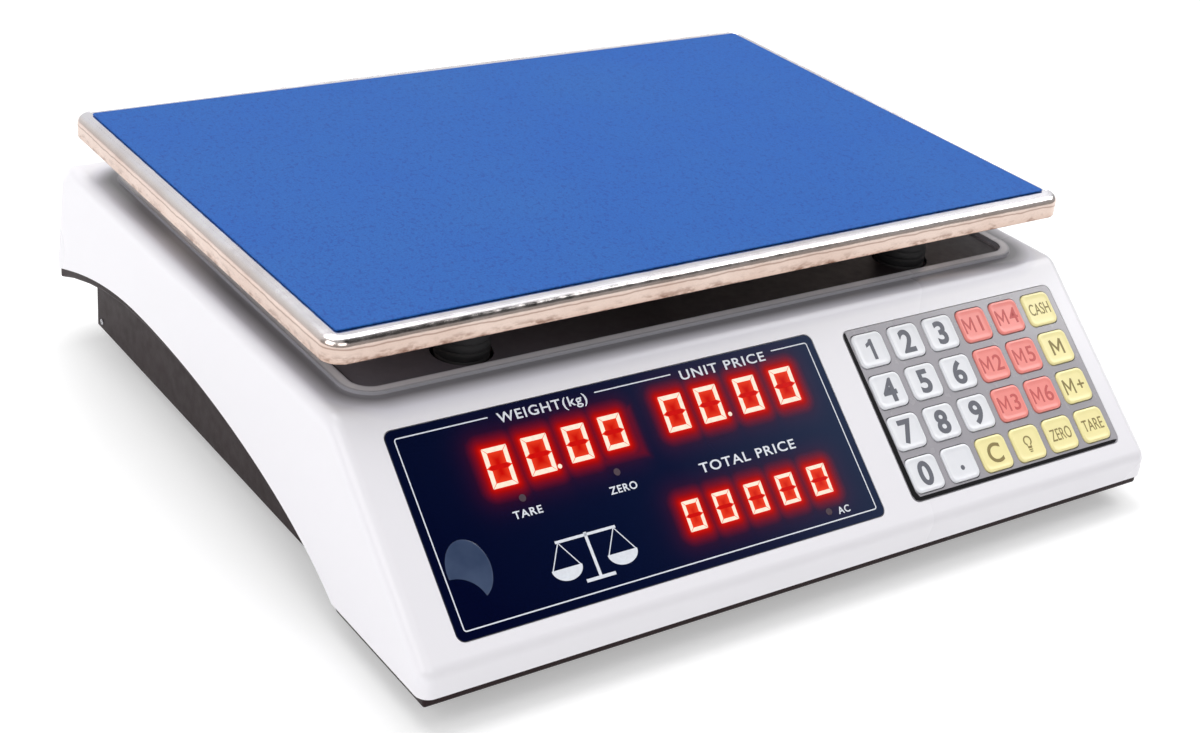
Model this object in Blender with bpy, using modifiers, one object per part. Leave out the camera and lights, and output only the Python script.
"""Retail price-computing scale: a low counter scale with a lift-off pan and a sloping front panel.

Metres, +Z up, +X to the operator's right, +Y towards the customer. The origin is on the counter,
at the centre of the scale's footprint. The operator stands on the -Y side.
"""

import math

import bmesh
import bpy
from mathutils import Matrix, Vector

# Driving dimensions
WIDTH = 0.342
DEPTH = 0.325
HEIGHT = 0.110
FIT = 0.0003
WALL = 0.0025
EDGE_RADIUS = 0.005
EDGE_STEPS = 4

# Top cover, as seen from the side
DECK_Z = 0.0825
LIP_Z = 0.0125
PANEL_ANCHOR = Vector((0.0, -0.1085, 0.069))
PANEL_DROP = math.radians(40.94)
REAR_BOTTOM_Z = 0.0282
REAR_LEAN = math.radians(11.8)
ARCH_FRONT_Y = -0.0995
ARCH_PEAK = (0.067, 0.0473)

# Deck dish under the pan
PAN_CENTRE_Y = 0.0225
RIDGE_SIZE = (0.3155, 0.216)
RIDGE_WIDTH = 0.004
RIDGE_RISE = 0.0012
CHANNEL_DEPTH = 0.0008

# Weighing pan and what carries it
PAN_SIZE = (0.342, 0.228)
PAN_RIM = 0.010
PAN_SHEET = 0.001
FILM_SIZE = (0.330, 0.214)
FILM_THICK = 0.0005
POST_REACH = (0.105, 0.090)
POST_RADIUS = 0.009
POST_ROOM = 0.0032
POST_TOP = 0.0985
SPIDER_Z = 0.060
SPIDER_THICK = 0.005

# Load cell, lying along X under the spider
CELL_SIZE = (0.130, 0.022, 0.022)
CELL_Z = 0.022
CELL_BOLT_X = (0.040, 0.056)
BOLT_RADIUS = 0.0029

# Base tub
TUB_FLOOR_Z = 0.0082
TUB_FLOOR = 0.0025
TUB_HALF_X = 0.160
TUB_Y = (-0.158, 0.141)
FLANGE_INSET = 0.002
FLANGE_DEPTH = 0.004
FOOT_X = 0.128
FOOT_Y = (-0.125, 0.112)
FOOT_RADIUS = 0.014
FOOT_STUD = 0.004
PILLAR_X = 0.142
PILLAR_Y = (-0.062, 0.104)
PILLAR_RADIUS = 0.0055
PILLAR_SPLIT_Z = 0.042

# Battery bay at the rear of the tub floor
BATTERY_CENTRE = (0.0, 0.098)
BATTERY_SIZE = (0.102, 0.047, 0.047)
BAY_SIZE = (0.108, 0.053)
DOOR_SIZE = (0.118, 0.062)
DOOR_THICK = 0.0022
DOOR_Z = 0.0057

# Panel layout: x to the right, t up the slope from the anchor, h out of the panel
WINDOW = (-0.1545, 0.0310, -0.0640, 0.0115)
KEYPAD = (0.0460, 0.1590, -0.0630, 0.0090)
SKIN = 0.001
RECESS = 0.0013
WINDOW_LEDGE = 0.0025
KEYPAD_LEDGE = 0.0012
CORNER = 0.003
KEY_COLUMNS = 6
KEY_ROWS = 4
KEY_FIRST = (0.0563, -0.0006)
KEY_PITCH = (0.01842, 0.01753)
KEY_SIZE = (0.0152, 0.0142)
KEY_RISE = 0.001
KEY_DEEP = 0.0036
KEY_FLANGE = 0.0007
KEY_FLANGE_THICK = 0.0012
KEY_BOARD_H = -0.0053
BOARD_THICK = 0.0016
LED_FACE_H = -0.0040
LED_DEPTH = 0.0070
LED_MODULES = {
    "led_module_weight": (-0.1270, -0.0600, -0.0185, 0.0005),
    "led_module_unit_price": (-0.0500, 0.0190, -0.0155, 0.0020),
    "led_module_total_price": (-0.0570, 0.0165, -0.0525, -0.0360),
}
LEVEL_XY = (-0.1420, -0.1360)
LEVEL_Z = 0.0290

# Customer display on the rear face
REAR_WINDOW_SIZE = (0.185, 0.034)
REAR_WINDOW_UP = 0.0245

# Switch and inlet on the tub's right wall
SWITCH_YZ = (0.030, 0.0255)
SWITCH_SIZE = (0.021, 0.015)
ROCKER_TILT = math.radians(8)
INLET_YZ = (0.078, 0.0255)
INLET_SIZE = (0.030, 0.018)

COLOURS = {
    "white_abs": ((0.80, 0.80, 0.81), 0.30, 0.0),
    "black_abs": ((0.02, 0.018, 0.017), 0.45, 0.0),
    "stainless": ((0.72, 0.68, 0.63), 0.18, 1.0),
    "blue_film": ((0.03, 0.14, 0.52), 0.55, 0.0),
    "aluminium": ((0.75, 0.76, 0.77), 0.35, 1.0),
    "zinc_steel": ((0.60, 0.60, 0.58), 0.35, 1.0),
    "rubber": ((0.02, 0.02, 0.02), 0.80, 0.0),
    "navy_window": ((0.006, 0.010, 0.040), 0.08, 0.0),
    "led_red": ((0.60, 0.03, 0.02), 0.35, 0.0),
    "board_green": ((0.02, 0.16, 0.06), 0.50, 0.0),
    "plate_grey": ((0.23, 0.24, 0.25), 0.45, 0.0),
    "key_white": ((0.78, 0.78, 0.76), 0.45, 0.0),
    "key_pink": ((0.85, 0.30, 0.27), 0.45, 0.0),
    "key_yellow": ((0.85, 0.74, 0.36), 0.45, 0.0),
    "level_fluid": ((0.45, 0.50, 0.50), 0.10, 0.0),
    "battery_case": ((0.10, 0.10, 0.11), 0.50, 0.0),
}

KEY_NAMES = (
    ("key_1", "key_2", "key_3", "key_m1", "key_m4", "key_cash"),
    ("key_4", "key_5", "key_6", "key_m2", "key_m5", "key_memory"),
    ("key_7", "key_8", "key_9", "key_m3", "key_m6", "key_memory_plus"),
    ("key_0", "key_point", "key_clear", "key_light", "key_zero", "key_tare"),
)


# Scene, collections and materials


def clear_scene():
    for obj in list(bpy.data.objects):
        bpy.data.objects.remove(obj, do_unlink=True)


def new_collection(name, hidden=False):
    collection = bpy.data.collections.new(name)
    bpy.context.scene.collection.children.link(collection)
    collection.hide_render = hidden
    return collection


clear_scene()
PARTS = new_collection("price_scale")
CUTTERS = new_collection("price_scale_cutters", hidden=True)


def material(name):
    found = bpy.data.materials.get(name)
    if found:
        return found
    colour, roughness, metallic = COLOURS[name]
    made = bpy.data.materials.new(name)
    made.use_nodes = True
    shader = made.node_tree.nodes["Principled BSDF"]
    shader.inputs["Base Color"].default_value = (*colour, 1.0)
    shader.inputs["Roughness"].default_value = roughness
    shader.inputs["Metallic"].default_value = metallic
    made.diffuse_color = (*colour, 1.0)
    return made


# Shapes


def frame_at(origin, x_axis, y_axis):
    """A placement whose local X and Y run along the two given directions."""
    x_axis = Vector(x_axis).normalized()
    y_axis = Vector(y_axis).normalized()
    turn = Matrix((x_axis, y_axis, x_axis.cross(y_axis))).transposed()
    return Matrix.Translation(Vector(origin)) @ turn.to_4x4()


FLAT = Matrix.Identity(4)
SIDE = frame_at((0, 0, 0), (0, 1, 0), (0, 0, 1))
PANEL_UP = Vector((0.0, math.cos(PANEL_DROP), math.sin(PANEL_DROP)))
PANEL_OUT = Vector((0.0, -math.sin(PANEL_DROP), math.cos(PANEL_DROP)))
PANEL = frame_at(PANEL_ANCHOR, (1, 0, 0), PANEL_UP)
REAR_UP = Vector((0.0, -math.sin(REAR_LEAN), math.cos(REAR_LEAN)))
REAR = frame_at((0, DEPTH / 2, REAR_BOTTOM_Z), (-1, 0, 0), REAR_UP)
RIGHT_WALL = frame_at((TUB_HALF_X, 0, 0), (0, 1, 0), (0, 0, 1))


def mesh_object(name, mesh, finish, collection):
    obj = bpy.data.objects.new(name, mesh)
    collection.objects.link(obj)
    if collection == CUTTERS:
        obj.hide_render = True
        obj.display_type = "WIRE"
    else:
        mesh.materials.append(material(finish))
        obj.color = material(finish).diffuse_color
    return obj


def from_bmesh(name, shape, finish, placement, collection):
    mesh = bpy.data.meshes.new(name)
    bmesh.ops.recalc_face_normals(shape, faces=shape.faces)
    shape.to_mesh(mesh)
    shape.free()
    obj = mesh_object(name, mesh, finish, collection)
    obj.matrix_world = placement
    return obj


def box(name, low, high, finish=None, placement=FLAT, collection=PARTS):
    low, high = Vector(low), Vector(high)
    shape = bmesh.new()
    bmesh.ops.create_cube(shape, size=1.0)
    bmesh.ops.scale(shape, vec=high - low, verts=shape.verts)
    bmesh.ops.translate(shape, vec=(low + high) / 2, verts=shape.verts)
    return from_bmesh(name, shape, finish, placement, collection)


def cylinder(name, centre, radius, low, high, finish=None, placement=FLAT, collection=PARTS, sides=24):
    """A round bar along local Z from low to high, about the given local x and y."""
    shape = bmesh.new()
    bmesh.ops.create_cone(
        shape, cap_ends=True, segments=sides, radius1=radius, radius2=radius, depth=high - low
    )
    bmesh.ops.translate(shape, vec=(centre[0], centre[1], (low + high) / 2), verts=shape.verts)
    return from_bmesh(name, shape, finish, placement, collection)


def slab(name, outline, low, high, finish=None, placement=FLAT, collection=PARTS):
    """A closed outline in local X and Y, made solid from local Z low to high."""
    curve = bpy.data.curves.new(name, "CURVE")
    curve.dimensions = "2D"
    curve.fill_mode = "BOTH"
    curve.extrude = (high - low) / 2
    spline = curve.splines.new("POLY")
    spline.points.add(len(outline) - 1)
    for point, (x, y) in zip(spline.points, outline):
        point.co = (x, y, 0.0, 1.0)
    spline.use_cyclic_u = True
    guide = bpy.data.objects.new(name, curve)
    CUTTERS.objects.link(guide)
    graph = bpy.context.evaluated_depsgraph_get()
    mesh = bpy.data.meshes.new_from_object(guide.evaluated_get(graph))
    bpy.data.objects.remove(guide)
    bpy.data.curves.remove(curve)
    shape = bmesh.new()
    shape.from_mesh(mesh)
    bpy.data.meshes.remove(mesh)
    bmesh.ops.remove_doubles(shape, verts=shape.verts, dist=0.00001)
    bmesh.ops.translate(shape, vec=(0.0, 0.0, (low + high) / 2), verts=shape.verts)
    return from_bmesh(name, shape, finish, placement, collection)


def turned(name, profile, finish, placement=FLAT, sides=24):
    """A profile of (radius, height) points, top to bottom, turned about local Z."""
    mesh = bpy.data.meshes.new(name)
    points = [(radius, 0.0, height) for radius, height in profile]
    mesh.from_pydata(points, [(i, i + 1) for i in range(len(points) - 1)], [])
    obj = mesh_object(name, mesh, finish, PARTS)
    obj.matrix_world = placement
    screw = obj.modifiers.new("Turn", "SCREW")
    screw.steps = sides
    screw.render_steps = sides
    screw.use_merge_vertices = True
    screw.merge_threshold = 0.0001
    return obj


def rounded_rectangle(x0, x1, y0, y1, radius, steps=3):
    centres = (
        (x1 - radius, y1 - radius),
        (x0 + radius, y1 - radius),
        (x0 + radius, y0 + radius),
        (x1 - radius, y0 + radius),
    )
    outline = []
    for quarter, (cx, cy) in enumerate(centres):
        for step in range(steps + 1):
            angle = math.pi / 2 * (quarter + step / steps)
            outline.append((cx + radius * math.cos(angle), cy + radius * math.sin(angle)))
    return outline


def centred_rectangle(centre, size, radius, steps=3):
    half_x, half_y = size[0] / 2, size[1] / 2
    cx, cy = centre
    return rounded_rectangle(cx - half_x, cx + half_x, cy - half_y, cy + half_y, radius, steps)


def grown(area, by):
    x0, x1, y0, y1 = area
    return (x0 - by, x1 + by, y0 - by, y1 + by)


def soften(points, radii, steps=3):
    """A closed outline with each corner replaced by an arc of its own radius."""
    outline = []
    for index, corner in enumerate(points):
        before = (Vector(points[index - 1]) - Vector(corner)).normalized()
        after = (Vector(points[(index + 1) % len(points)]) - Vector(corner)).normalized()
        radius = radii[index]
        if radius == 0:
            outline.append(tuple(corner))
            continue
        half = before.angle(after) / 2
        centre = Vector(corner) + (before + after).normalized() * radius / math.sin(half)
        start = Vector(corner) + before * radius / math.tan(half) - centre
        turn = (math.pi - 2 * half) * math.copysign(1, before.cross(after)) * -1
        for step in range(steps + 1):
            spin = Matrix.Rotation(turn * step / steps, 2)
            outline.append(tuple(centre + spin @ start))
    return outline


def join_or_cut(target, cutter, operation="DIFFERENCE"):
    modifier = target.modifiers.new(cutter.name, "BOOLEAN")
    modifier.operation = operation
    modifier.object = cutter
    return target


def cut(target, *cutters):
    for cutter in cutters:
        join_or_cut(target, cutter)
    return target


def join(target, *others):
    for other in others:
        join_or_cut(target, other, "UNION")
    return target


def bevel(obj, width, segments=2, angle=40):
    modifier = obj.modifiers.new("Rounded edges", "BEVEL")
    modifier.width = width
    modifier.segments = segments
    modifier.limit_method = "ANGLE"
    modifier.angle_limit = math.radians(angle)
    return obj


def smooth(obj, angle=35):
    obj.data.shade_smooth()
    obj.data.set_sharp_from_angle(angle=math.radians(angle))
    return obj


def rounded_body(name, outline_at, half, radius, finish=None, collection=PARTS):
    """A side outline run across the width, its two ends rounded over; outline_at takes an inset."""
    turns = [math.pi / 2 * step / EDGE_STEPS for step in range(EDGE_STEPS + 1)]
    right = [(half - radius * (1 - math.sin(turn)), radius * (1 - math.cos(turn))) for turn in turns]
    stations = [(-x, inset) for x, inset in reversed(right)] + right
    shape = bmesh.new()
    rings = []
    for x, inset in stations:
        rings.append([shape.verts.new((y, z, x)) for y, z in outline_at(inset)])
    count = len(rings[0])
    for near, far in zip(rings, rings[1:]):
        for index in range(count):
            after = (index + 1) % count
            shape.faces.new((near[index], near[after], far[after], far[index]))
    shape.faces.new(rings[0])
    shape.faces.new(rings[-1])
    return from_bmesh(name, shape, finish, SIDE, collection)


# Outlines of the housing, in side view: (y, z)


def panel_point(h, z):
    """The y of the panel plane, moved out by h, at a given height."""
    base = PANEL_ANCHOR + PANEL_OUT * h
    return (base.y + (z - base.z) / math.tan(PANEL_DROP), z)


def panel_height(h, y):
    base = PANEL_ANCHOR + PANEL_OUT * h
    return (y, base.z + (y - base.y) * math.tan(PANEL_DROP))


def housing_outline(inset, bottom):
    """The housing in side view, moved in by the wall, down to the given height."""
    front = -DEPTH / 2 + inset
    top = DECK_Z - inset
    rear_shift = inset / math.cos(REAR_LEAN)
    rear_low = (DEPTH / 2 - rear_shift, REAR_BOTTOM_Z)
    rear_top_y = rear_low[0] - (top - REAR_BOTTOM_Z) * math.tan(REAR_LEAN)
    corners = [
        (front, bottom),
        panel_height(-inset, front),
        panel_point(-inset, top),
        (rear_top_y, top),
        rear_low,
        (rear_low[0], bottom),
    ]
    corner_radii = [0, 0.0065 - inset, 0.010 - inset, 0.014 - inset, 0, 0]
    return soften(corners, corner_radii, 4)


def bezier(start, pull_a, pull_b, end, steps):
    points = []
    for step in range(steps + 1):
        t = step / steps
        weights = ((1 - t) ** 3, 3 * t * (1 - t) ** 2, 3 * t * t * (1 - t), t**3)
        y = sum(w * p[0] for w, p in zip(weights, (start, pull_a, pull_b, end)))
        z = sum(w * p[1] for w, p in zip(weights, (start, pull_a, pull_b, end)))
        points.append((y, z))
    return points


def hem_line(drop=0.0, reach=0.0):
    """The cover's lower edge, front to rear: level at the front, then one long arch."""
    front_y = -DEPTH / 2 - reach
    rear = (DEPTH / 2, REAR_BOTTOM_Z)
    peak = ARCH_PEAK
    start = (ARCH_FRONT_Y, LIP_Z)
    rise = bezier(start, (-0.072, 0.031), (-0.010, peak[1]), peak, 8)
    fall = bezier(peak, (0.105, peak[1]), (0.135, 0.0375), rear, 5)
    line = [(front_y, LIP_Z)] + rise + fall[1:]
    if reach:
        line.append((rear[0] + reach, rear[1]))
    return [(y, z - drop) for y, z in line]


# Weighing group


def weighing_pan():
    top = HEIGHT - FILM_THICK - FIT
    outer = centred_rectangle((0, PAN_CENTRE_Y), PAN_SIZE, 0.008, 4)
    pan = slab("weighing_pan", outer, HEIGHT - PAN_RIM, top, "stainless")
    bevel(pan, 0.0025, 3, 60)
    inner_size = (PAN_SIZE[0] - 2 * PAN_SHEET, PAN_SIZE[1] - 2 * PAN_SHEET)
    inner = centred_rectangle((0, PAN_CENTRE_Y), inner_size, 0.007, 4)
    hollow = slab("pan_hollow", inner, HEIGHT - PAN_RIM - 0.005, top - PAN_SHEET, collection=CUTTERS)
    bevel(hollow, 0.0018, 2, 60)
    return smooth(cut(pan, hollow))


def pan_film():
    outline = centred_rectangle((0, PAN_CENTRE_Y), FILM_SIZE, 0.005, 3)
    return slab("pan_film", outline, HEIGHT - FILM_THICK, HEIGHT, "blue_film")


def post_places():
    for x_sign in (-1, 1):
        for y_sign in (-1, 1):
            yield (x_sign * POST_REACH[0], PAN_CENTRE_Y + y_sign * POST_REACH[1])


def pan_rubbers():
    underside = HEIGHT - FILM_THICK - FIT - PAN_SHEET
    names = ("pan_rubber_front_left", "pan_rubber_rear_left", "pan_rubber_front_right", "pan_rubber_rear_right")
    for name, (x, y) in zip(names, post_places()):
        low, high = POST_TOP + FIT, underside - FIT
        profile = [(0.0, high), (0.0075, high), (0.009, high - 0.0015), (0.010, low), (0.0, low)]
        smooth(turned(name, profile, "rubber", Matrix.Translation((x, y, 0.0)), 20))


def pan_spider():
    """A pressed cross with a hub over the load cell and a post at each tip."""
    low, high = SPIDER_Z, SPIDER_Z + SPIDER_THICK
    hub = centred_rectangle((0.0, PAN_CENTRE_Y), (0.140, 0.050), 0.006, 2)
    spider = slab("pan_spider", hub, low, high, "aluminium")
    for index, (x, y) in enumerate(post_places()):
        run = Vector((x, y - PAN_CENTRE_Y, 0.0))
        placement = frame_at((0.0, PAN_CENTRE_Y, 0.0), run, (-run.y, run.x, 0.0))
        arm = box(
            f"spider_arm_{index}", (0.030, -0.009, low), (run.length, 0.009, high),
            placement=placement, collection=CUTTERS,
        )
        post = cylinder(f"spider_post_{index}", (x, y), POST_RADIUS, low, POST_TOP, collection=CUTTERS)
        join(spider, arm, post)
    cut(spider, *bolt_holes("spider_hole", 1, low - 0.002, high + 0.002))
    return smooth(spider)


def bolt_places(side):
    return [(side * x, PAN_CENTRE_Y) for x in CELL_BOLT_X]


def bolt_holes(name, side, low, high):
    return [
        cylinder(f"{name}_{index}", place, BOLT_RADIUS + FIT, low, high, collection=CUTTERS, sides=16)
        for index, place in enumerate(bolt_places(side))
    ]


def load_cell():
    """A double bending beam: two joined bores across a bar, with threaded holes at each end."""
    half_x, half_y = CELL_SIZE[0] / 2, CELL_SIZE[1] / 2
    middle = CELL_Z + CELL_SIZE[2] / 2
    low = (-half_x, PAN_CENTRE_Y - half_y, CELL_Z)
    high = (half_x, PAN_CENTRE_Y + half_y, CELL_Z + CELL_SIZE[2])
    cell = bevel(box("load_cell", low, high, "aluminium"), 0.0006, 1)
    across = frame_at((0.0, PAN_CENTRE_Y, middle), (1, 0, 0), (0, 0, 1))
    reach = half_y + 0.002
    bores = [
        cylinder(f"cell_bore_{side}", (side * 0.011, 0.0), 0.0078, -reach, reach,
                 placement=across, collection=CUTTERS)
        for side in (-1, 1)
    ]
    slot = box("cell_slot", (-0.011, -0.003, -reach), (0.011, 0.003, reach),
               placement=across, collection=CUTTERS)
    cut(cell, *bores, slot)
    for side, name in ((-1, "cell_base_hole"), (1, "cell_top_hole")):
        cut(cell, *bolt_holes(name, side, CELL_Z - 0.002, CELL_Z + CELL_SIZE[2] + 0.002))
    return smooth(cell)


def spacer(name, side, low, high):
    centre_x = side * sum(CELL_BOLT_X) / 2
    outline = centred_rectangle((centre_x, PAN_CENTRE_Y), (0.030, CELL_SIZE[1]), 0.002, 2)
    block = slab(name, outline, low, high, "zinc_steel")
    return smooth(cut(block, *bolt_holes(name + "_hole", side, low - 0.002, high + 0.002)))


def bolt_plate(name, side, plate, tip):
    """Two bolts riveted into one strap, clamping an end of the load cell."""
    centre_x = side * sum(CELL_BOLT_X) / 2
    outline = centred_rectangle((centre_x, PAN_CENTRE_Y), (0.032, 0.014), 0.002, 2)
    strap = slab(name, outline, plate[0], plate[1], "zinc_steel")
    inside = (plate[0] + plate[1]) / 2
    low, high = min(inside, tip), max(inside, tip)
    for index, place in enumerate(bolt_places(side)):
        stud = cylinder(f"{name}_stud_{index}", place, BOLT_RADIUS, low, high, collection=CUTTERS, sides=16)
        head_low, head_high = (plate[0] - 0.0015, inside) if side < 0 else (inside, plate[1] + 0.003)
        head = cylinder(f"{name}_head_{index}", place, 0.005, head_low, head_high, collection=CUTTERS, sides=6)
        join(strap, stud, head)
    return smooth(strap)


def weighing_group():
    weighing_pan()
    pan_film()
    pan_rubbers()
    pan_spider()
    load_cell()
    cell_top = CELL_Z + CELL_SIZE[2]
    spacer("load_cell_base_spacer", -1, TUB_FLOOR_Z + TUB_FLOOR + FIT, CELL_Z - FIT)
    spacer("load_cell_top_spacer", 1, cell_top + FIT, SPIDER_Z - FIT)
    under = TUB_FLOOR_Z - FIT
    bolt_plate("load_cell_base_bolts", -1, (under - 0.002, under), CELL_Z + 0.015)
    over = SPIDER_Z + SPIDER_THICK + FIT
    bolt_plate("load_cell_top_bolts", 1, (over, over + 0.002), cell_top - 0.015)


# Housing


def ring(name, outer_size, band, low, high, radius):
    """A closed band between two rounded rectangles, centred on the pan."""
    centre = (0.0, PAN_CENTRE_Y)
    outer = slab(name, centred_rectangle(centre, outer_size, radius, 4), low, high, collection=CUTTERS)
    inner_size = (outer_size[0] - 2 * band, outer_size[1] - 2 * band)
    inner_outline = centred_rectangle(centre, inner_size, radius - band, 4)
    inner = slab(name + "_hole", inner_outline, low - 0.001, high + 0.001, collection=CUTTERS)
    return cut(outer, inner)


def top_cover():
    half = WIDTH / 2
    cover = rounded_body("top_cover", lambda inset: housing_outline(inset, 0.0),
                         half, EDGE_RADIUS, "white_abs")
    inside = rounded_body("cover_inside", lambda inset: housing_outline(WALL + inset, -0.005),
                          half - WALL, EDGE_RADIUS - WALL, collection=CUTTERS)
    below = [(DEPTH / 2 + 0.01, -0.01), (-DEPTH / 2 - 0.01, -0.01)]
    hem = slab("cover_hem", hem_line(0.0, 0.01) + below, -half - 0.01, half + 0.01,
               placement=SIDE, collection=CUTTERS)
    cut(cover, inside, hem)
    centre = (0.0, PAN_CENTRE_Y)
    ridge_top = DECK_Z + RIDGE_RISE
    join(cover, ring("deck_ridge", RIDGE_SIZE, RIDGE_WIDTH, DECK_Z - 0.001, ridge_top, 0.012))
    dish_size = (RIDGE_SIZE[0] - 2 * RIDGE_WIDTH, RIDGE_SIZE[1] - 2 * RIDGE_WIDTH)
    dish = slab("deck_dish", centred_rectangle(centre, dish_size, 0.008, 4),
                DECK_Z - CHANNEL_DEPTH, ridge_top + 0.001, collection=CUTTERS)
    cut(cover, dish)
    for index, place in enumerate(post_places()):
        hole = cylinder(f"post_hole_{index}", place, POST_RADIUS + POST_ROOM, 0.070, 0.090,
                        collection=CUTTERS, sides=28)
        cut(cover, hole)
    for index, (x, y) in enumerate(pillar_places()):
        pillar = cylinder(f"cover_pillar_{index}", (x, y), PILLAR_RADIUS, PILLAR_SPLIT_Z + FIT,
                          DECK_Z - WALL / 2, collection=CUTTERS, sides=16)
        bore = cylinder(f"cover_pillar_bore_{index}", (x, y), 0.0016, PILLAR_SPLIT_Z - 0.002, 0.060,
                        collection=CUTTERS, sides=10)
        join(cover, pillar)
        cut(cover, bore)
    cut(cover, *panel_openings(), *rear_openings())
    return smooth(cover, 30)


def panel_openings():
    for name, area, ledge in (("window", WINDOW, WINDOW_LEDGE), ("keypad", KEYPAD, KEYPAD_LEDGE)):
        seat = rounded_rectangle(*grown(area, FIT), CORNER + FIT)
        yield slab(f"{name}_seat", seat, -RECESS, 0.004, placement=PANEL, collection=CUTTERS)
        hole = rounded_rectangle(*grown(area, -ledge), CORNER, 2)
        yield slab(f"{name}_hole", hole, -0.007, 0.003, placement=PANEL, collection=CUTTERS)


def rear_openings():
    centre = (0.0, REAR_WINDOW_UP)
    seat_size = (REAR_WINDOW_SIZE[0] + 2 * FIT, REAR_WINDOW_SIZE[1] + 2 * FIT)
    seat = centred_rectangle(centre, seat_size, CORNER + FIT)
    yield slab("rear_seat", seat, -RECESS, 0.004, placement=REAR, collection=CUTTERS)
    hole_size = (REAR_WINDOW_SIZE[0] - 2 * WINDOW_LEDGE, REAR_WINDOW_SIZE[1] - 2 * WINDOW_LEDGE)
    hole = centred_rectangle(centre, hole_size, CORNER, 2)
    yield slab("rear_hole", hole, -0.007, 0.003, placement=REAR, collection=CUTTERS)


def pillar_places():
    for x_sign in (-1, 1):
        for y in PILLAR_Y:
            yield (x_sign * PILLAR_X, y)


def foot_places():
    for x_sign in (-1, 1):
        for y in FOOT_Y:
            yield (x_sign * FOOT_X, y)


def tub_outline(low, y_range, shrink=0.0):
    """The region under the hem line, between two y limits and above low."""
    front, rear = y_range
    inner = [(y, z) for y, z in hem_line(FIT + shrink) if front < y < rear]
    start_z = inner[0][1]
    if front > -DEPTH / 2:
        inner.insert(0, (front, LIP_Z - FIT - shrink))
        start_z = low
    last = (rear, inner[-1][1] - 0.001)
    return inner + [last, (rear, low), (front, min(start_z, low))]


def base_tub():
    """The black underside: a pan under the cover, with a flange that follows the cover's hem."""
    tub = slab("base_tub", tub_outline(TUB_FLOOR_Z, TUB_Y), -TUB_HALF_X, TUB_HALF_X, "black_abs", SIDE)
    flange_half = WIDTH / 2 - FLANGE_INSET
    flange_y = (-DEPTH / 2 + FLANGE_INSET, DEPTH / 2 - FLANGE_INSET)
    upper = [(y, z) for y, z in hem_line(FIT) if flange_y[0] < y < flange_y[1]]
    upper.insert(0, (flange_y[0], LIP_Z - FIT))
    upper.append((flange_y[1], REAR_BOTTOM_Z - FIT))
    lower = [(y, z - FLANGE_DEPTH) for y, z in reversed(upper)]
    flange = slab("tub_flange", upper + lower, -flange_half, flange_half,
                  placement=SIDE, collection=CUTTERS)
    bevel(flange, 0.005, 2, 75)
    join(tub, flange)
    floor_top = TUB_FLOOR_Z + TUB_FLOOR
    hollow_x = TUB_HALF_X - WALL
    hollow = slab(
        "tub_hollow",
        rounded_rectangle(-hollow_x, hollow_x, TUB_Y[0] + WALL, TUB_Y[1] - WALL, 0.006, 2),
        floor_top, 0.100, collection=CUTTERS,
    )
    cut(tub, hollow)
    for index, (x, y) in enumerate(foot_places()):
        join(tub, cylinder(f"foot_boss_{index}", (x, y), 0.0085, TUB_FLOOR_Z + 0.001, 0.020,
                           collection=CUTTERS, sides=20))
        cut(tub, cylinder(f"foot_bore_{index}", (x, y), FOOT_STUD + FIT, 0.000, 0.030,
                          collection=CUTTERS, sides=20))
    for index, (x, y) in enumerate(pillar_places()):
        join(tub, cylinder(f"tub_pillar_{index}", (x, y), PILLAR_RADIUS, TUB_FLOOR_Z + 0.001,
                           PILLAR_SPLIT_Z, collection=CUTTERS, sides=16))
        cut(tub, cylinder(f"tub_pillar_bore_{index}", (x, y), 0.0022, 0.000, 0.050,
                          collection=CUTTERS, sides=10))
    join(tub, cylinder("level_post", LEVEL_XY, 0.005, TUB_FLOOR_Z + 0.001, LEVEL_Z - FIT,
                       collection=CUTTERS, sides=16))
    cut(tub, *bolt_holes("tub_cell_hole", -1, 0.004, 0.014))
    bay = centred_rectangle(BATTERY_CENTRE, BAY_SIZE, 0.003, 2)
    cut(tub, slab("battery_bay", bay, 0.004, 0.014, collection=CUTTERS))
    for side in (-1, 1):
        join(tub, door_rail(side))
    for name, place, size in (("switch", SWITCH_YZ, SWITCH_SIZE), ("inlet", INLET_YZ, INLET_SIZE)):
        hole_size = (size[0] - 0.002, size[1] - 0.002)
        outline = centred_rectangle(place, hole_size, 0.001, 1)
        cut(tub, slab(f"{name}_cutout", outline, -0.010, 0.010, placement=RIGHT_WALL, collection=CUTTERS))
    return smooth(tub, 30)


def door_rail(side):
    """An L-shaped runner under the tub floor that holds one edge of the battery door."""
    edge = DOOR_SIZE[0] / 2 + FIT
    corners = [
        (edge, TUB_FLOOR_Z + 0.001),
        (edge, DOOR_Z - FIT),
        (edge - 0.002, DOOR_Z - FIT),
        (edge - 0.002, DOOR_Z - 0.002),
        (edge + 0.0025, DOOR_Z - 0.002),
        (edge + 0.0025, TUB_FLOOR_Z + 0.001),
    ]
    outline = [(side * x, z) for x, z in corners]
    facing = frame_at((BATTERY_CENTRE[0], 0.0, 0.0), (1, 0, 0), (0, 0, 1))
    front = BATTERY_CENTRE[1] - DOOR_SIZE[1] / 2
    rear = BATTERY_CENTRE[1] + DOOR_SIZE[1] / 2
    return slab(f"door_rail_{side}", outline, -rear, -front, placement=facing, collection=CUTTERS)


def levelling_feet():
    names = ("foot_front_left", "foot_rear_left", "foot_front_right", "foot_rear_right")
    for name, (x, y) in zip(names, foot_places()):
        profile = [
            (0.0, 0.0235),
            (FOOT_STUD, 0.0235),
            (FOOT_STUD, 0.0068),
            (FOOT_RADIUS - 0.003, 0.0062),
            (FOOT_RADIUS, 0.0030),
            (FOOT_RADIUS, 0.0008),
            (FOOT_RADIUS - 0.0008, 0.0),
            (0.0, 0.0),
        ]
        smooth(turned(name, profile, "rubber", Matrix.Translation((x, y, 0.0)), 24))


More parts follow.
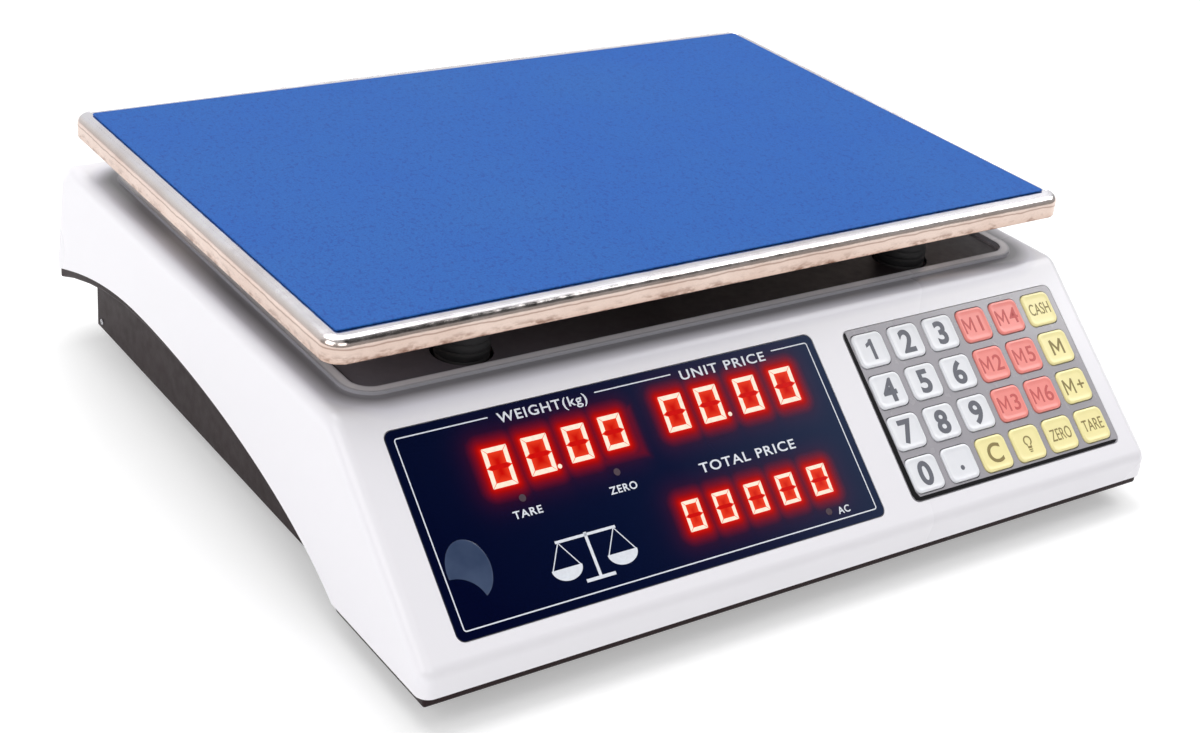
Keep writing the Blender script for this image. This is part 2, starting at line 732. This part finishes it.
def battery_group():
    cx, cy = BATTERY_CENTRE
    half_x, half_y = BATTERY_SIZE[0] / 2, BATTERY_SIZE[1] / 2
    low = DOOR_Z + DOOR_THICK + 3 * FIT
    battery = box("battery", (cx - half_x, cy - half_y, low),
                  (cx + half_x, cy + half_y, low + BATTERY_SIZE[2]), "battery_case")
    bevel(battery, 0.0015, 1)
    tags = [
        box(f"battery_tag_{side}", (cx + side * 0.012 - 0.003, cy - half_y - 0.006, low + 0.036),
            (cx + side * 0.012 + 0.003, cy - half_y + 0.001, low + 0.037), collection=CUTTERS)
        for side in (-1, 1)
    ]
    join(battery, *tags)
    door = slab("battery_door", centred_rectangle(BATTERY_CENTRE, DOOR_SIZE, 0.002, 2),
                DOOR_Z, DOOR_Z + DOOR_THICK, "black_abs")
    for rib in range(4):
        y = cy + 0.010 + rib * 0.004
        join(door, box(f"door_rib_{rib}", (cx - 0.012, y, DOOR_Z - 0.001), (cx + 0.012, y + 0.0016, DOOR_Z + 0.001),
                       collection=CUTTERS))


# Panel group


def skin(name, area, finish):
    outline = rounded_rectangle(*area, CORNER)
    return slab(name, outline, -SKIN, 0.0, finish, PANEL)


def key_places():
    for row in range(KEY_ROWS):
        for column in range(KEY_COLUMNS):
            x = KEY_FIRST[0] + column * KEY_PITCH[0]
            t = KEY_FIRST[1] - row * KEY_PITCH[1]
            yield row, column, (x, t)


def key_finish(row, column):
    if column in (3, 4) and row < 3:
        return "key_pink"
    if column < 3 and not (row == 3 and column == 2):
        return "key_white"
    return "key_yellow"


def keypad_frame():
    frame = skin("keypad_frame", KEYPAD, "plate_grey")
    for row, column, place in key_places():
        size = (KEY_SIZE[0] + 2 * FIT, KEY_SIZE[1] + 2 * FIT)
        outline = centred_rectangle(place, size, 0.0025, 2)
        cut(frame, slab(f"key_hole_{row}_{column}", outline, -0.003, 0.003,
                        placement=PANEL, collection=CUTTERS))
    return frame


def keys():
    for row, column, (x, t) in key_places():
        home = PANEL @ Matrix.Translation((x, t, 0.0))
        name = KEY_NAMES[row][column]
        cap = slab(name, centred_rectangle((0, 0), KEY_SIZE, 0.0025, 2),
                   -KEY_DEEP, KEY_RISE, key_finish(row, column), home)
        bevel(cap, 0.0006, 1, 60)
        flange_size = (KEY_SIZE[0] + 2 * KEY_FLANGE, KEY_SIZE[1] + 2 * KEY_FLANGE)
        flange = slab(name + "_flange", centred_rectangle((0, 0), flange_size, 0.001, 1),
                      0.0005 - KEY_DEEP, 0.0005 - KEY_DEEP + KEY_FLANGE_THICK,
                      placement=home, collection=CUTTERS)
        join(cap, flange)


def board(name, area, top, posts, post_high, placement):
    """A circuit board with stand-off posts that reach up to the cover."""
    plate = slab(name, rounded_rectangle(*area, 0.001, 1), top - BOARD_THICK, top, "board_green", placement)
    for index, place in enumerate(posts):
        join(plate, cylinder(f"{name}_post_{index}", place, 0.002, top - BOARD_THICK / 2, post_high,
                             placement=placement, collection=CUTTERS, sides=10))
    return plate


def panel_group():
    skin("front_display_window", WINDOW, "navy_window")
    keypad_frame()
    keys()
    under = -WALL - FIT
    led_bottom = LED_FACE_H - LED_DEPTH
    for name, area in LED_MODULES.items():
        slab(name, rounded_rectangle(*area, 0.001, 1), led_bottom, LED_FACE_H, "led_red", PANEL)
    x0, x1, t0, t1 = WINDOW
    main_area = (x0 + 0.0245, x1 - 0.001, t0 + 0.004, t1 - 0.004)
    main_posts = [(x, t) for x in (-0.105, -0.060) for t in (t0 + 0.006,)]
    board("main_board", main_area, led_bottom - FIT, main_posts, LED_FACE_H - 0.001, PANEL)
    board("keypad_board", grown(KEYPAD, -0.004), KEY_BOARD_H, [], under, PANEL)
    level = [(0.0, LEVEL_Z + 0.007), (0.0070, LEVEL_Z + 0.007), (0.0075, LEVEL_Z + 0.0065),
             (0.0075, LEVEL_Z), (0.0, LEVEL_Z)]
    smooth(turned("spirit_level", level, "level_fluid", Matrix.Translation((*LEVEL_XY, 0.0)), 24))


# Customer display, power parts


def rear_group():
    outline = centred_rectangle((0.0, REAR_WINDOW_UP), REAR_WINDOW_SIZE, CORNER)
    slab("rear_display_window", outline, -SKIN, 0.0, "navy_window", REAR)
    low, high = REAR_WINDOW_UP - 0.009, REAR_WINDOW_UP + 0.009
    led = rounded_rectangle(-0.080, 0.080, low, high, 0.001, 1)
    slab("rear_led_module", led, LED_FACE_H - LED_DEPTH, LED_FACE_H, "led_red", REAR)
    area = (-0.086, 0.086, low - 0.004, high + 0.004)
    board("rear_display_board", area, LED_FACE_H - LED_DEPTH - FIT, [], 0.0, REAR)


def power_switch():
    outline = centred_rectangle(SWITCH_YZ, SWITCH_SIZE, 0.0015, 2)
    bezel = slab("power_switch_housing", outline, FIT, 0.0018, "black_abs", RIGHT_WALL)
    body_size = (SWITCH_SIZE[0] - 0.0032, SWITCH_SIZE[1] - 0.0032)
    body = slab("switch_body", centred_rectangle(SWITCH_YZ, body_size, 0.0008, 1), -0.014, 0.001,
                placement=RIGHT_WALL, collection=CUTTERS)
    well_size = (SWITCH_SIZE[0] - 0.0056, SWITCH_SIZE[1] - 0.0052)
    well = slab("switch_well", centred_rectangle(SWITCH_YZ, well_size, 0.0004, 1), -0.009, 0.004,
                placement=RIGHT_WALL, collection=CUTTERS)
    cut(join(bezel, body), well)
    pivot = RIGHT_WALL @ Matrix.Translation((*SWITCH_YZ, -0.001)) @ Matrix.Rotation(ROCKER_TILT, 4, "Y")
    half_long = well_size[0] / 2 - 0.0009
    half_wide = well_size[1] / 2 - FIT
    sections = [(-half_long, 0.0012), (-half_long + 0.0006, 0.0036), (0.0, 0.0022),
                (half_long - 0.0006, 0.0036), (half_long, 0.0012), (0.0, -0.0042)]
    upright = pivot @ Matrix.Rotation(math.radians(90), 4, "X")
    slab("power_switch_rocker", sections, -half_wide, half_wide, "black_abs", upright)


def power_inlet():
    """A two-pin appliance inlet, with its recess open to the outside."""
    bezel = slab("power_inlet", centred_rectangle(INLET_YZ, INLET_SIZE, 0.002, 2), FIT, 0.0015,
                 "black_abs", RIGHT_WALL)
    body_size = (INLET_SIZE[0] - 0.0032, INLET_SIZE[1] - 0.0032)
    body = slab("inlet_body", centred_rectangle(INLET_YZ, body_size, 0.001, 1), -0.018, 0.001,
                placement=RIGHT_WALL, collection=CUTTERS)
    join(bezel, body)
    for side in (-1, 1):
        place = (INLET_YZ[0] + side * 0.0043, INLET_YZ[1])
        cut(bezel, cylinder(f"inlet_recess_{side}", place, 0.0049, -0.013, 0.005,
                            placement=RIGHT_WALL, collection=CUTTERS, sides=20))
    for side in (-1, 1):
        place = (INLET_YZ[0] + side * 0.0043, INLET_YZ[1])
        join(bezel, cylinder(f"inlet_pin_{side}", place, 0.0012, -0.015, -0.003,
                             placement=RIGHT_WALL, collection=CUTTERS, sides=10))
    return smooth(bezel)


def power_board():
    floor = TUB_FLOOR_Z + TUB_FLOOR + FIT
    plate = box("power_board", (0.080, 0.035, floor + 0.004), (0.132, 0.092, floor + 0.0056), "board_green")
    feet = [
        box(f"power_board_foot_{i}", (x, y, floor), (x + 0.005, y + 0.005, floor + 0.005), collection=CUTTERS)
        for i, (x, y) in enumerate([(0.081, 0.036), (0.126, 0.036), (0.081, 0.086), (0.126, 0.086)])
    ]
    core = box("transformer_core", (0.088, 0.044, floor + 0.005), (0.122, 0.074, floor + 0.032), collection=CUTTERS)
    return join(plate, *feet, core)


def buzzer():
    floor = TUB_FLOOR_Z + TUB_FLOOR + FIT
    profile = [(0.0015, floor + 0.008), (0.006, floor + 0.008), (0.006, floor), (0.0, floor)]
    profile.insert(0, (0.0015, floor + 0.0065))
    profile.insert(0, (0.0, floor + 0.0065))
    return smooth(turned("buzzer", profile, "black_abs", Matrix.Translation((-0.020, -0.100, 0.0)), 20))


weighing_group()
top_cover()
base_tub()
levelling_feet()
battery_group()
panel_group()
rear_group()
power_switch()
power_inlet()
power_board()
buzzer()
